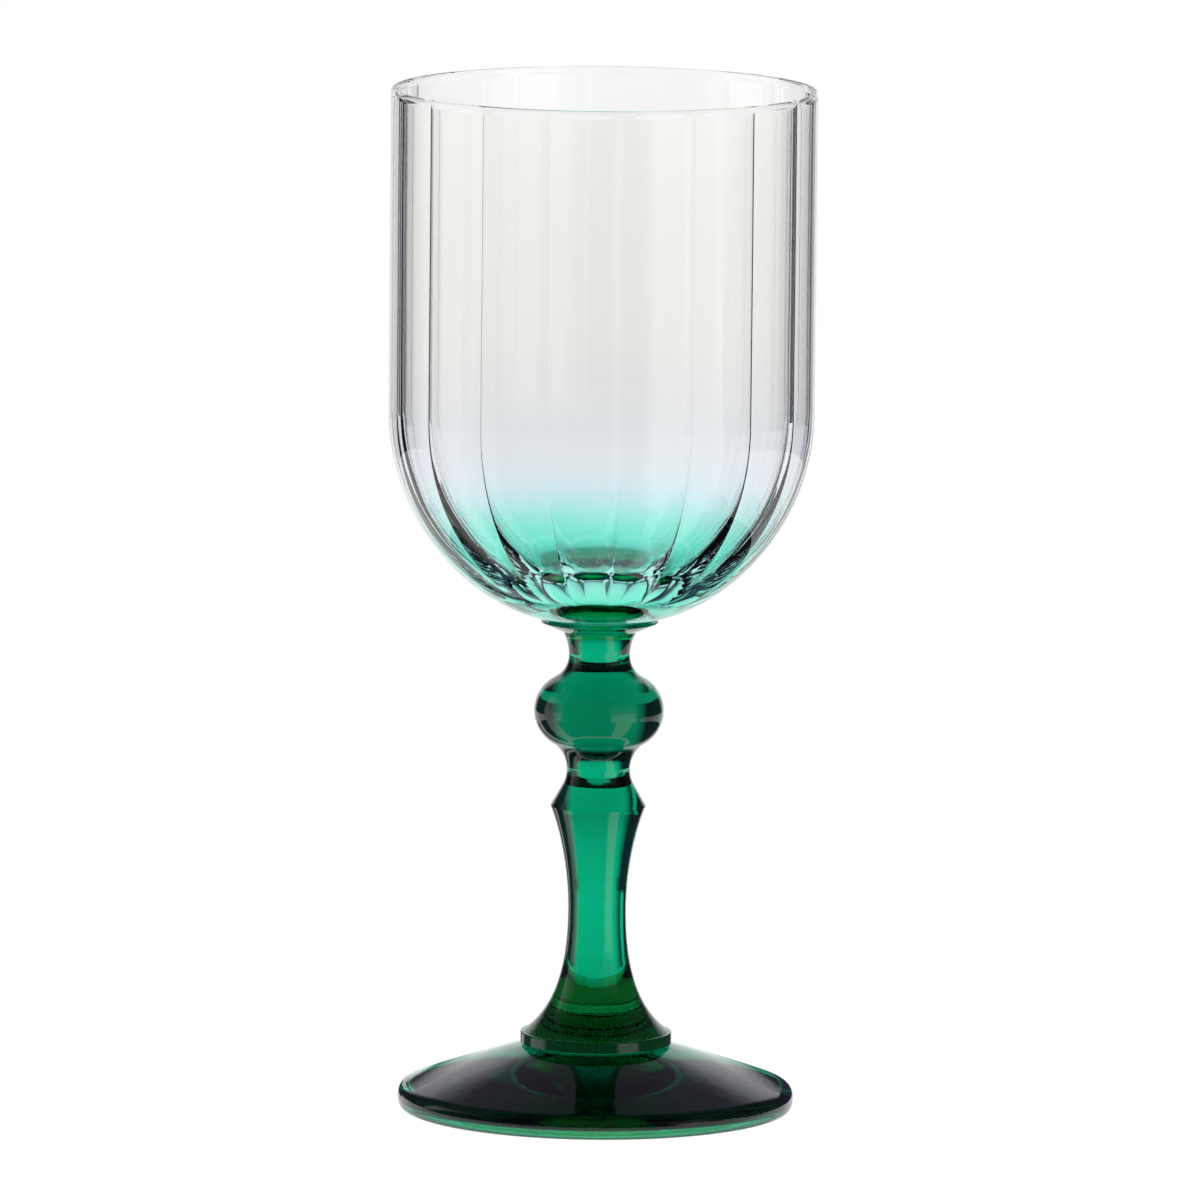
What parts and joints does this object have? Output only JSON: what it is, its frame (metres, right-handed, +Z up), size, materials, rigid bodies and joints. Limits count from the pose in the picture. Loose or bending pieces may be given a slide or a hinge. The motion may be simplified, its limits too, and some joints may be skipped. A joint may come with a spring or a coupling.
{
  "type": "wine glass",
  "caption": "Stemmed glass: straight-sided round-bottomed bowl with inner flutes, thin merese, ball-knopped stem with a bevelled ring, flat collar and conical foot.",
  "frame": {"origin": "centre of the foot's rest ring, on the table plane and on the glass's axis", "axes": "+Z up along the glass's axis, -Y the side taken as the front"},
  "size_m": [0.082, 0.082, 0.198],
  "materials": {
    "bowl_glass": "clear polished glass with a sprayed lustre, clear at the rim and fading to emerald at the bottom",
    "green_glass": "transparent emerald glass, fire polished"
  },
  "bodies": {
    "root": {"bowl": "bowl_glass", "merese": "green_glass", "stem": "green_glass", "foot_collar": "green_glass", "foot": "green_glass"}
  },
  "joints": []
}
